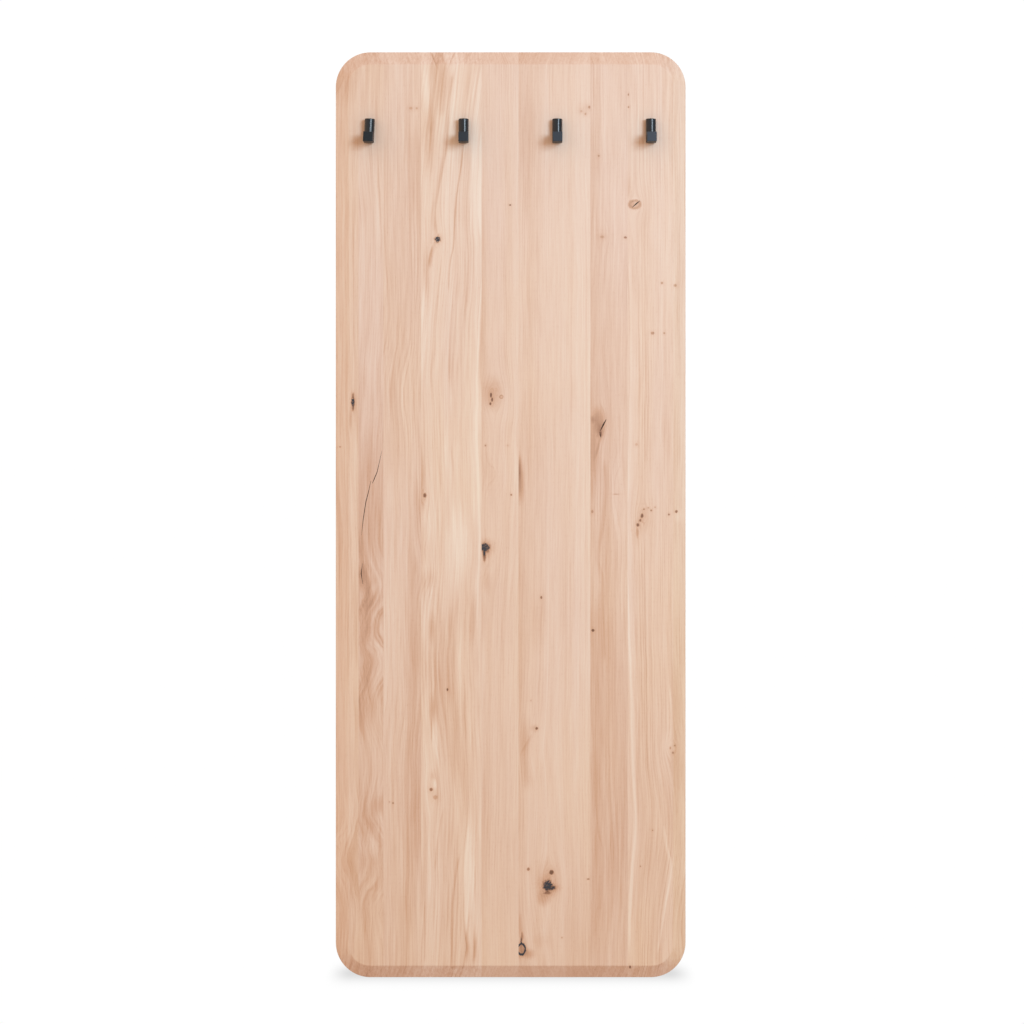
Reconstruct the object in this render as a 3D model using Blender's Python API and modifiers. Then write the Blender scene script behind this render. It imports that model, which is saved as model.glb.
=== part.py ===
"""Wall hook rack: a tall solid oak panel glued up from upright staves, with four fixed black hooks near its top."""

import math

import bmesh
import bpy
from mathutils import Matrix, Vector

# Driving dimensions in metres. The origin is the centre of the back (wall) face; -Y is the front, +Z is up.
BOARD_W = 0.605
BOARD_H = 1.600
BOARD_T = 0.030
CORNER_R = 0.060
CHAMFER_IN = 0.0225
CHAMFER_DEEP = 0.010
BACK_ARRIS = 0.0015
CORNER_STEPS = 10
SEAMS = (-0.2625, -0.2195, -0.1546, -0.0502, 0.0136, 0.1376, 0.2018)
GAP = 0.0003

# Hooks: a round post standing against the panel and a square peg butted to its foot, on one stud.
HOOK_X = (-0.2440, -0.0811, 0.0802, 0.2415)
HOOK_LEAN = (2.7, 0.0, 0.0, 0.0)
HOOK_Z = 0.6495
POST_D = 0.0175
POST_H = 0.0415
POST_BACK_FLAT = 0.00775
POST_SEAT = 0.0030
PEG_SIDE = 0.0167
PEG_TIP = 0.0380
PEG_ROUND = 0.0008
PEG_SHOULDER = 0.0005
STUD_D = 0.006
STUD_IN_PEG = 0.014
INSERT_D = 0.012
INSERT_LEN = 0.016

# Recessed steel channels across the back, which keep the panel flat.
STIFF_Z = {"upper": 0.42, "lower": -0.42}
STIFF_LEN = 0.500
STIFF_W = 0.030
STIFF_DEEP = 0.010
STIFF_WALL = 0.002
STIFF_SCREW_X = {"left": -0.185, "middle": 0.0, "right": 0.185}
STIFF_SLOT = 0.014
PAN_HEAD_D = 0.009
PAN_HEAD_H = 0.003
PAN_SHANK_D = 0.0045
PAN_LEN = 0.016

# Keyhole hanger plates let into the back, level with the fixings on the wall.
HANGER_X = {"left": -0.240, "right": 0.240}
HANGER_Z = 0.720
HANGER_W = 0.0254
HANGER_H = 0.0604
HANGER_T = 0.002
HANGER_HOLE = 0.010
HANGER_SLOT = 0.005
HANGER_SCREW_Z = {"top": 0.024, "bottom": -0.024}
HANGER_WELL = 0.012
CSK_HEAD_D = 0.007
CSK_SHANK_D = 0.0035
CSK_LEN = 0.016

for old in list(bpy.data.objects):
    bpy.data.objects.remove(old)

RACK = bpy.data.collections.new("wall_hook_rack")
HELPERS = bpy.data.collections.new("helpers")
WOOD_CUTS = bpy.data.collections.new("wood_cuts")
for collection in (RACK, HELPERS, WOOD_CUTS):
    bpy.context.scene.collection.children.link(collection)
HELPERS.hide_render = True
WOOD_CUTS.hide_render = True


def material(name, color, roughness, metallic=0.0):
    made = bpy.data.materials.new(name)
    made.use_nodes = True
    made.diffuse_color = (*color, 1.0)
    shader = made.node_tree.nodes["Principled BSDF"]
    shader.inputs["Base Color"].default_value = (*color, 1.0)
    shader.inputs["Roughness"].default_value = roughness
    shader.inputs["Metallic"].default_value = metallic
    return made


OAK = material("oak", (0.72, 0.48, 0.34), 0.55)
BLACK = material("black", (0.020, 0.022, 0.026), 0.38)
STEEL = material("steel", (0.55, 0.56, 0.58), 0.35, 1.0)
BRASS = material("brass", (0.70, 0.52, 0.24), 0.35, 1.0)


def add(name, bm, look, collection=None):
    """Closes off a bmesh as an object: into the rack with a material, or among the helpers as a cutter."""
    bmesh.ops.recalc_face_normals(bm, faces=bm.faces)
    mesh = bpy.data.meshes.new(name)
    bm.to_mesh(mesh)
    bm.free()
    obj = bpy.data.objects.new(name, mesh)
    if look is None:
        (collection or HELPERS).objects.link(obj)
        obj.hide_render = True
        obj.display_type = "WIRE"
    else:
        RACK.objects.link(obj)
        mesh.materials.append(look)
    return obj


def smooth(obj, degrees=35):
    for face in obj.data.polygons:
        face.use_smooth = True
    obj.data.set_sharp_from_angle(angle=math.radians(degrees))


def turned(profile, steps):
    """A closed body from (radius, distance) pairs turned about the Y axis; the ends lie on the axis."""
    bm = bmesh.new()
    points = [bm.verts.new((radius, along, 0)) for radius, along in profile]
    edges = [bm.edges.new(pair) for pair in zip(points, points[1:])]
    bmesh.ops.spin(
        bm,
        geom=points + edges,
        cent=(0, 0, 0),
        axis=(0, 1, 0),
        angle=2 * math.pi,
        steps=steps,
    )
    bmesh.ops.remove_doubles(bm, verts=bm.verts, dist=0.00001)
    return bm


def block(x0, x1, y0, y1, z0, z1):
    bm = bmesh.new()
    bmesh.ops.create_cube(bm, size=1.0)
    bmesh.ops.scale(bm, vec=(x1 - x0, y1 - y0, z1 - z0), verts=bm.verts)
    bmesh.ops.translate(bm, vec=((x0 + x1) / 2, (y0 + y1) / 2, (z0 + z1) / 2), verts=bm.verts)
    return bm


def prism(points, y0, y1):
    """A straight prism along Y over a closed outline of (x, z) points."""
    bm = bmesh.new()
    face = bm.faces.new([bm.verts.new((x, y0, z)) for x, z in points])
    made = bmesh.ops.extrude_face_region(bm, geom=[face])
    moved = [part for part in made["geom"] if isinstance(part, bmesh.types.BMVert)]
    bmesh.ops.translate(bm, vec=(0, y1 - y0, 0), verts=moved)
    return bm


def rod(radius, y0, y1, steps=24):
    return turned([(0, y0), (radius, y0), (radius, y1), (0, y1)], steps)


def moved_to(bm, x, y, z):
    bmesh.ops.translate(bm, vec=(x, y, z), verts=bm.verts)
    return bm


def arc(cx, cz, radius, start, end, steps):
    angles = [math.radians(start + (end - start) * i / steps) for i in range(steps + 1)]
    return [(cx + radius * math.cos(a), cz + radius * math.sin(a)) for a in angles]


def slot_outline(width, length, steps=6):
    """A slot lying along X, with round ends."""
    half = (length - width) / 2
    right = arc(half, 0, width / 2, -90, 90, steps)
    return right + arc(-half, 0, width / 2, 90, 270, steps)


def keyhole_outline(hole, slot, rise):
    """A round entry hole with a narrower slot rising from it."""
    meet = math.degrees(math.asin(slot / hole))
    top = arc(0, rise, slot / 2, 0, 180, 8)
    return top + arc(0, 0, hole / 2, 90 + meet, 450 - meet, 20)


def cut(obj, cutter):
    step = obj.modifiers.new("cut_" + cutter.name, "BOOLEAN")
    step.operation = "DIFFERENCE"
    step.solver = "EXACT"
    step.object = cutter


def rounded_ring(inset, y):
    """The panel's outline moved in by `inset`, at depth y."""
    half_w = BOARD_W / 2 - CORNER_R
    half_h = BOARD_H / 2 - CORNER_R
    radius = CORNER_R - inset
    ring = []
    for sx, sz, start in ((1, 1, 0), (-1, 1, 90), (-1, -1, 180), (1, -1, 270)):
        ring += arc(sx * half_w, sz * half_h, radius, start, start + 90, CORNER_STEPS)
    return [Vector((x, y, z)) for x, z in ring]


def panel():
    """The whole panel before it is divided: square back arris broken, wide chamfer round the front."""
    bm = bmesh.new()
    levels = (
        (BACK_ARRIS, 0.0),
        (0.0, -BACK_ARRIS),
        (0.0, -(BOARD_T - CHAMFER_DEEP)),
        (CHAMFER_IN, -BOARD_T),
    )
    rings = [[bm.verts.new(co) for co in rounded_ring(*level)] for level in levels]
    for low, high in zip(rings, rings[1:]):
        for i in range(len(low)):
            j = (i + 1) % len(low)
            bm.faces.new((low[i], low[j], high[j], high[i]))
    bm.faces.new(rings[0])
    bm.faces.new(rings[-1])
    bmesh.ops.recalc_face_normals(bm, faces=bm.faces)
    return bm


def trim(bm, x, side):
    """Cuts the mesh at x and closes it; side +1 drops what lies to the right."""
    made = bmesh.ops.bisect_plane(
        bm,
        geom=bm.verts[:] + bm.edges[:] + bm.faces[:],
        dist=0.000001,
        plane_co=(x, 0, 0),
        plane_no=(side, 0, 0),
        clear_outer=True,
    )
    rim = [part for part in made["geom_cut"] if isinstance(part, bmesh.types.BMEdge)]
    bmesh.ops.holes_fill(bm, edges=rim, sides=0)


def staves():
    edges = (None, *SEAMS, None)
    for number, (left, right) in enumerate(zip(edges, edges[1:]), start=1):
        bm = panel()
        if left is not None:
            trim(bm, left + GAP / 2, -1)
        if right is not None:
            trim(bm, right - GAP / 2, 1)
        stave = add(f"stave_{number}", bm, OAK)
        smooth(stave, 20)
        step = stave.modifiers.new("recesses", "BOOLEAN")
        step.operation = "DIFFERENCE"
        step.solver = "EXACT"
        step.operand_type = "COLLECTION"
        step.collection = WOOD_CUTS


def post_mesh():
    """The upright round bar with softened ends, its axis along Z and its foot at z = 0."""
    edge = 0.0006
    radius = POST_D / 2
    bm = turned(
        [(0, 0), (radius - edge, 0), (radius, edge), (radius, POST_H - edge), (radius - edge, POST_H), (0, POST_H)],
        40,
    )
    bmesh.ops.rotate(bm, cent=(0, 0, 0), matrix=Matrix.Rotation(math.radians(90), 3, "X"), verts=bm.verts)
    return bm


def lean_about_stud(obj, x, degrees):
    """Turns a piece clockwise, seen from the front, about its hook's stud."""
    centre = Matrix.Translation((x, 0, HOOK_Z))
    turn = Matrix.Rotation(math.radians(degrees), 4, "Y")
    obj.data.transform(centre @ turn @ centre.inverted())


def hooks():
    front = -BOARD_T
    axis_y = front - POST_BACK_FLAT - GAP
    seat_y = axis_y - POST_SEAT
    foot_z = HOOK_Z - PEG_SIDE / 2
    half = PEG_SIDE / 2
    tip_y = front - PEG_TIP
    for number, (x, lean) in enumerate(zip(HOOK_X, HOOK_LEAN), start=1):
        name = f"hook_{number}"
        post = add(name + "_post", moved_to(post_mesh(), x, axis_y, foot_z), BLACK)
        smooth(post)
        wide = POST_D
        back = add(
            name + "_cut_back",
            block(x - wide, x + wide, front - GAP, 0, foot_z - 0.01, foot_z + POST_H + 0.01),
            None,
        )
        seat = add(
            name + "_cut_seat",
            block(x - wide, x + wide, tip_y, seat_y, foot_z - 0.01, HOOK_Z + half),
            None,
        )
        through = add(
            name + "_cut_post_bore",
            moved_to(rod(STUD_D / 2 + GAP, seat_y - 0.002, front + 0.002), x, 0, HOOK_Z),
            None,
        )
        peg = add(name + "_peg", block(x - half, x + half, tip_y, seat_y - GAP, foot_z, foot_z + PEG_SIDE), BLACK)
        blind = add(
            name + "_cut_peg_bore",
            moved_to(rod(STUD_D / 2 + GAP, seat_y - STUD_IN_PEG - GAP, seat_y + 0.002), x, 0, HOOK_Z),
            None,
        )
        shoulder = add(
            name + "_cut_shoulder",
            block(
                x - wide,
                x + wide,
                axis_y - POST_D / 2 - PEG_SHOULDER,
                front,
                HOOK_Z + half - GAP,
                HOOK_Z + PEG_SIDE,
            ),
            None,
        )
        for piece in (post, back, seat, through, peg, blind, shoulder):
            lean_about_stud(piece, x, lean)
        for cutter in (back, seat, through):
            cut(post, cutter)
        soften = peg.modifiers.new("soften", "BEVEL")
        soften.width = PEG_ROUND
        soften.segments = 2
        soften.limit_method = "ANGLE"
        cut(peg, shoulder)
        cut(peg, blind)

        tail_y = front + INSERT_LEN
        nose = 0.0006
        radius = STUD_D / 2
        stud = add(
            name + "_stud",
            moved_to(
                turned(
                    [
                        (0, seat_y - STUD_IN_PEG),
                        (radius - nose, seat_y - STUD_IN_PEG),
                        (radius, seat_y - STUD_IN_PEG + nose),
                        (radius, tail_y - nose),
                        (radius - nose, tail_y),
                        (0, tail_y),
                    ],
                    20,
                ),
                x,
                0,
                HOOK_Z,
            ),
            STEEL,
        )
        smooth(stud)

        insert = add(name + "_insert", moved_to(insert_mesh(front, tail_y), x, 0, HOOK_Z), BRASS)
        smooth(insert)
        bore = rod(INSERT_D / 2 + GAP, front - 0.002, tail_y + 0.0015)
        add(name + "_cut_wood", moved_to(bore, x, 0, HOOK_Z), None, WOOD_CUTS)


def insert_mesh(front, tail):
    """A threaded sleeve: a flange flush with the panel's face, then coarse ridges that bite into the wood."""
    outer = INSERT_D / 2
    core = outer - 0.0012
    inner = STUD_D / 2 + GAP
    start = front + GAP
    profile = [(inner, start), (outer, start), (outer, start + 0.0012), (core, start + 0.0018)]
    ridges = 4
    pitch = (tail - start - 0.0030) / ridges
    for i in range(ridges):
        y = start + 0.0024 + pitch * i
        profile += [(outer - 0.0001, y + 0.35 * pitch), (core, y + 0.7 * pitch)]
    profile += [(core - 0.0004, tail), (inner, tail), (inner, start)]
    return turned(profile, 20)


def hex_recess(across, y0, y1):
    return prism(arc(0, 0, across / math.sqrt(3), 0, 300, 5), y0, y1)


def screw(name, x, z, profile, recess):
    """A wood screw driven from the back, with a hexagonal drive recess."""
    made = add(name, moved_to(turned(profile, 20), x, 0, z), STEEL)
    smooth(made)
    cut(made, add(name + "_recess", moved_to(recess, x, 0, z), None))


def stiffeners():
    deep = STIFF_DEEP
    half_l = STIFF_LEN / 2
    half_w = STIFF_W / 2
    web = -GAP - deep + STIFF_WALL
    for place, z in STIFF_Z.items():
        name = f"stiffener_{place}"
        bar = add(name, block(-half_l, half_l, -GAP - deep, -GAP, z - half_w, z + half_w), STEEL)
        inner = half_w - STIFF_WALL
        hollow = block(-half_l - 0.01, half_l + 0.01, web, 0.01, z - inner, z + inner)
        cut(bar, add(name + "_hollow", hollow, None))
        groove = block(
            -half_l - GAP,
            half_l + GAP,
            -2 * GAP - deep,
            0.01,
            z - half_w - GAP,
            z + half_w + GAP,
        )
        add(name + "_groove", groove, None, WOOD_CUTS)
        for side, x in STIFF_SCREW_X.items():
            long = STIFF_SLOT if side != "middle" else PAN_SHANK_D + 3 * GAP
            outline = slot_outline(PAN_SHANK_D + 2 * GAP, long)
            hole = moved_to(prism(outline, -0.03, 0.0), x, 0, z)
            cut(bar, add(f"{name}_slot_{side}", hole, None))
            seat = web + GAP
            shank = PAN_SHANK_D / 2
            head = PAN_HEAD_D / 2
            profile = [
                (0, seat - PAN_LEN),
                (0.0006, seat - PAN_LEN),
                (shank, seat - PAN_LEN + 0.004),
                (shank, seat),
                (head, seat),
                (head, seat + 0.6 * PAN_HEAD_H),
                (head * 0.72, seat + PAN_HEAD_H),
                (0, seat + PAN_HEAD_H),
            ]
            recess = hex_recess(0.003, seat + 0.0010, seat + 0.01)
            screw(f"{name}_screw_{side}", x, z, profile, recess)
            pilot = rod(shank + GAP, seat - PAN_LEN - GAP, -deep, 20)
            add(f"{name}_pilot_{side}", moved_to(pilot, x, 0, z), None, WOOD_CUTS)


def hangers():
    half_w = HANGER_W / 2
    half_h = HANGER_H / 2
    for side, x in HANGER_X.items():
        name = f"hanger_{side}"
        plate_bm = block(x - half_w, x + half_w, -GAP - HANGER_T, -GAP, HANGER_Z - half_h, HANGER_Z + half_h)
        plate = add(name, plate_bm, STEEL)
        key = prism(keyhole_outline(HANGER_HOLE, HANGER_SLOT, 0.014), -0.01, 0.01)
        cut(plate, add(name + "_keyhole", moved_to(key, x, 0, HANGER_Z - 0.006), None))
        pocket = block(
            x - half_w - GAP,
            x + half_w + GAP,
            -2 * GAP - HANGER_T,
            0.01,
            HANGER_Z - half_h - GAP,
            HANGER_Z + half_h + GAP,
        )
        add(name + "_pocket", pocket, None, WOOD_CUTS)
        well = block(x - 0.008, x + 0.008, -HANGER_WELL, -0.001, HANGER_Z - 0.014, HANGER_Z + 0.015)
        add(name + "_well", well, None, WOOD_CUTS)
        for place, dz in HANGER_SCREW_Z.items():
            z = HANGER_Z + dz
            head = CSK_HEAD_D / 2
            shank = CSK_SHANK_D / 2
            top = -2 * GAP
            neck = top - (head - shank)
            sink = turned(
                [
                    (0, -0.01),
                    (shank + GAP, -0.01),
                    (shank + GAP, neck - 0.0002),
                    (head + GAP + 0.0012, top + 0.0010),
                    (0, top + 0.0010),
                ],
                20,
            )
            cut(plate, add(f"{name}_sink_{place}", moved_to(sink, x, 0, z), None))
            profile = [
                (0, top - CSK_LEN),
                (0.0005, top - CSK_LEN),
                (shank, top - CSK_LEN + 0.004),
                (shank, neck),
                (head, top),
                (0, top),
            ]
            recess = hex_recess(0.0024, top - 0.0014, top + 0.01)
            screw(f"{name}_screw_{place}", x, z, profile, recess)
            pilot = rod(shank + GAP, top - CSK_LEN - GAP, -HANGER_T, 20)
            add(f"{name}_pilot_{place}", moved_to(pilot, x, 0, z), None, WOOD_CUTS)


staves()
hooks()
stiffeners()
hangers()
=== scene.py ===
"""Wall hook rack: the looks of the oak panel, its four black hooks and the steel fittings behind it."""

import math

import bmesh
import bpy
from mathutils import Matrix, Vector


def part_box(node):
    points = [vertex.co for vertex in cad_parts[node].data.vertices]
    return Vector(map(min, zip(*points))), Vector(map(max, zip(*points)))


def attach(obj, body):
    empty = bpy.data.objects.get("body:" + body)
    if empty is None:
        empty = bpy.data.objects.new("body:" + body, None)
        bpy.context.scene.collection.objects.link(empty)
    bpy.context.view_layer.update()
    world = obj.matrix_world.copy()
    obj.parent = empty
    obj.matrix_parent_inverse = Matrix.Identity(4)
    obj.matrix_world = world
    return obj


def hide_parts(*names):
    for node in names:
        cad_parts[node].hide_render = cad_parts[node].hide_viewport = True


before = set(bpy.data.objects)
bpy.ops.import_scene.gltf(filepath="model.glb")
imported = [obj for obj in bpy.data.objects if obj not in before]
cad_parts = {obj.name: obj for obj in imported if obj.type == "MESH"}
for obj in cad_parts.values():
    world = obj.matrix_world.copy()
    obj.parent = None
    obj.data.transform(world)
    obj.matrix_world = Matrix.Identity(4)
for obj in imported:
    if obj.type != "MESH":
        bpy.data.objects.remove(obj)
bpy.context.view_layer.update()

# The panel's edge, in metres: how far its corners and its wide front chamfer reach.
CORNER_R = 0.060
CHAMFER_IN = 0.0225
CHAMFER_DEEP = 0.010
BACK_ARRIS = 0.0015
SIDE_ROUND = 0.0010
FRONT_ROUND = 0.0016
CORNER_STEPS = 28
GLUE_GAP = 0.00002
STAVES = 8
HOOKS = 4

# Recesses behind the panel: play round a fitting, how far a cutter runs out at the back, and the pocket for a
# wall screw's head, measured from the middle of its hanger plate.
FIT = 0.0003
RUN_OUT = 0.01
POCKET_SIDE = 0.008
POCKET_DOWN = 0.014
POCKET_UP = 0.015
POCKET_DEEP = 0.012
POCKET_START = 0.001

# The oak's tones, from its darkest figure to its palest. Everything that a stave shows is a shift along this
# scale.
OAK_TONES = (
    (-2.0, (0.215, 0.112, 0.070)),
    (-1.0, (0.435, 0.235, 0.150)),
    (0.0, (0.680, 0.423, 0.292)),
    (1.0, (0.823, 0.617, 0.497)),
    (2.0, (0.900, 0.760, 0.655)),
)
# The same tones where the wood is more golden than pink.
OAK_GOLD = tuple((place, (red * 1.02, green, blue * 0.89)) for place, (red, green, blue) in OAK_TONES)
FILLER = (0.038, 0.047, 0.060)
# The inside of the cracks: painted shade.
CRACK_PAINTED_SHADE = (0.045, 0.028, 0.020)
# How far the chamfer at top and foot sinks along the scale, end grain and painted shade; the foot's painted
# shade on top of that; the end faces' own end grain; and the painted tint that makes that chamfer less
# golden.
CHAMFER_GRAIN_AND_SHADE = 0.30
FOOT_PAINTED_SHADE = 0.26
END_SINK = 0.50
CHAMFER_PAINTED_COOL = 0.65


def nodes_box(*names):
    """The lowest and highest corner round several CAD nodes."""
    boxes = [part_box(name) for name in names]
    low = Vector([min(box[0][i] for box in boxes) for i in range(3)])
    high = Vector([max(box[1][i] for box in boxes) for i in range(3)])
    return low, high


STAVE_NAMES = [f"stave_{n}" for n in range(1, STAVES + 1)]
PANEL_LOW, PANEL_HIGH = nodes_box(*STAVE_NAMES)
FRONT = PANEL_LOW.y
HALF_W = (PANEL_HIGH.x - PANEL_LOW.x) / 2
HALF_H = (PANEL_HIGH.z - PANEL_LOW.z) / 2
SEAMS = [
    (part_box(left)[1].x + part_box(right)[0].x) / 2
    for left, right in zip(STAVE_NAMES, STAVE_NAMES[1:])
]


# ---------------------------------------------------------------- node trees


class Field:
    """A value that varies over a surface: one socket of a node tree, with arithmetic."""

    def __init__(self, tree, socket):
        self.tree = tree
        self.socket = socket

    def math(self, operation, *others):
        return self.tree.add("Math", (self, *others), operation=operation)

    def __add__(self, other):
        return self.math("ADD", other)

    __radd__ = __add__

    def __sub__(self, other):
        return self.math("SUBTRACT", other)

    def __rsub__(self, other):
        return self.tree.add("Math", (other, self), operation="SUBTRACT")

    def __mul__(self, other):
        return self.math("MULTIPLY", other)

    __rmul__ = __mul__

    def __truediv__(self, other):
        return self.math("DIVIDE", other)

    def __pow__(self, other):
        return self.math("POWER", other)

    def __abs__(self):
        return self.math("ABSOLUTE")

    def clear(self, low, high):
        """0 up to `low`, 1 from `high` on, and smooth between; the other way round if low is the greater."""
        return self.tree.add("MapRange", (self, low, high, 0.0, 1.0), interpolation_type="SMOOTHSTEP")

    def between(self, low, high, fade):
        """1 from `low` to `high`, fading out over the stretch `fade` on either side."""
        return self.clear(low - fade, low) * self.clear(high + fade, high)

    def bell(self):
        """1 where the value is 0, falling away on both sides of it."""
        return (self**2 * -1).math("EXPONENT")


class Tree:
    """A new material and short calls for the nodes that it is made of."""

    def __init__(self, name):
        self.material = bpy.data.materials.new(name)
        self.material.use_nodes = True
        self.nodes = self.material.node_tree.nodes
        self.links = self.material.node_tree.links
        self.shader = self.nodes["Principled BSDF"]

    def put(self, socket, value):
        if isinstance(value, Field):
            self.links.new(value.socket, socket)
        else:
            socket.default_value = value

    def add(self, kind, values=(), output=0, **settings):
        node = self.nodes.new("ShaderNode" + kind)
        for key, value in settings.items():
            setattr(node, key, value)
        for socket, value in zip(node.inputs, values):
            self.put(socket, value)
        return Field(self, node.outputs[output])

    def split(self, vector):
        """The three parts of a vector."""
        parts = self.add("SeparateXYZ", (vector,))
        return [Field(self, parts.socket.node.outputs[i]) for i in range(3)]

    def position(self):
        place = self.nodes.new("ShaderNodeTexCoord")
        return self.split(Field(self, place.outputs["Object"]))

    def normal(self):
        geometry = self.nodes.new("ShaderNodeNewGeometry")
        return self.split(Field(self, geometry.outputs["Normal"]))

    def noise(self, x, y, z, detail=2.0, rough=0.5):
        """Smooth noise about 0, mostly within -0.6 and 0.6."""
        made = self.nodes.new("ShaderNodeTexNoise")
        self.put(made.inputs["Vector"], self.add("CombineXYZ", (x, y, z)))
        made.inputs["Scale"].default_value = 1.0
        made.inputs["Detail"].default_value = detail
        made.inputs["Roughness"].default_value = rough
        return (Field(self, made.outputs["Fac"]) - 0.5) * 2.0

    def ramp(self, value, stops):
        """A colour picked along evenly scaled stops of (position, colour)."""
        low, high = stops[0][0], stops[-1][0]
        node = self.nodes.new("ShaderNodeValToRGB")
        self.put(node.inputs["Fac"], (value - low) / (high - low))
        elements = node.color_ramp.elements
        while len(elements) < len(stops):
            elements.new(0.5)
        for element, (place, color) in zip(elements, stops):
            element.position = (place - low) / (high - low)
            element.color = (*color, 1.0)
        return Field(self, node.outputs["Color"])

    def level(self, value, stops):
        """A number that follows (position, number) stops along `value`."""
        node = self.nodes.new("ShaderNodeFloatCurve")
        curve = node.mapping.curves[0]
        node.mapping.use_clip = False
        low, high = stops[0][0], stops[-1][0]
        self.put(node.inputs["Value"], (value - low) / (high - low))
        while len(curve.points) < len(stops):
            curve.points.new(0.5, 0.5)
        for point, (place, number) in zip(curve.points, stops):
            point.location = ((place - low) / (high - low), number)
        node.mapping.update()
        return Field(self, node.outputs["Value"])

    def mix(self, amount, first, second):
        """Colour `first` turning into colour `second`."""
        node = self.nodes.new("ShaderNodeMix")
        node.data_type = "RGBA"
        self.put(node.inputs["Factor"], amount)
        for socket, color in ((node.inputs[6], first), (node.inputs[7], second)):
            self.put(socket, color if isinstance(color, Field) else (*color, 1.0))
        return Field(self, node.outputs[2])

    def bump(self, height, distance):
        node = self.nodes.new("ShaderNodeBump")
        node.inputs["Strength"].default_value = 1.0
        node.inputs["Distance"].default_value = distance
        self.put(node.inputs["Height"], height)
        self.links.new(node.outputs["Normal"], self.shader.inputs["Normal"])


# ---------------------------------------------------------------- oak


def from_centre(tree, place, spot):
    """1 on the rim of an ellipse, less inside it. `spot` is its centre (x, z), width, height and, if it
    leans, by how many degrees; `place` is a point of the stave with y = 0."""
    centre_x, centre_z, wide, high = spot[:4]
    lean = math.radians(spot[4]) if len(spot) > 4 else 0.0
    node = tree.nodes.new("ShaderNodeMapping")
    node.vector_type = "TEXTURE"
    tree.put(node.inputs["Vector"], place)
    node.inputs["Location"].default_value = (centre_x, 0.0, centre_z)
    node.inputs["Rotation"].default_value = (0.0, lean, 0.0)
    node.inputs["Scale"].default_value = (wide / 2, 1.0, high / 2)
    return tree.add("VectorMath", (Field(tree, node.outputs["Vector"]),), output=1, operation="LENGTH")


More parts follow.
